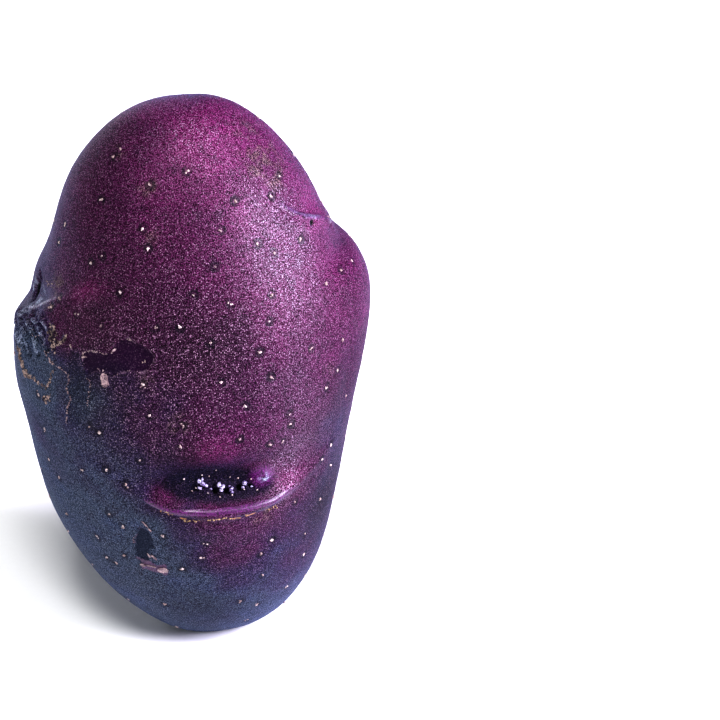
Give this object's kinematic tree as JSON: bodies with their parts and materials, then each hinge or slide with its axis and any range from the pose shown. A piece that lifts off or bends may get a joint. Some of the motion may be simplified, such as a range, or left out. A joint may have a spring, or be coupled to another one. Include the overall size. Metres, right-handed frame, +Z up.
{
  "type": "whole potato",
  "caption": "Whole purple-skinned potato, a lumpy oval tuber with deep eyes, corky pores and scuffed skin, standing on its stem end",
  "frame": {"origin": "Middle of the small flat spot at the stem end that the potato stands on.", "axes": "+Z runs up the potato's length from the stem end to the rose end. -Y faces the side with the deepest eye, and +X is to that side's right."},
  "size_m": [0.0583, 0.0534, 0.094],
  "materials": {
    "skin": "dusty dark purple potato skin with a faint waxy sheen"
  },
  "bodies": {
    "root": {"potato": "skin"}
  },
  "joints": []
}
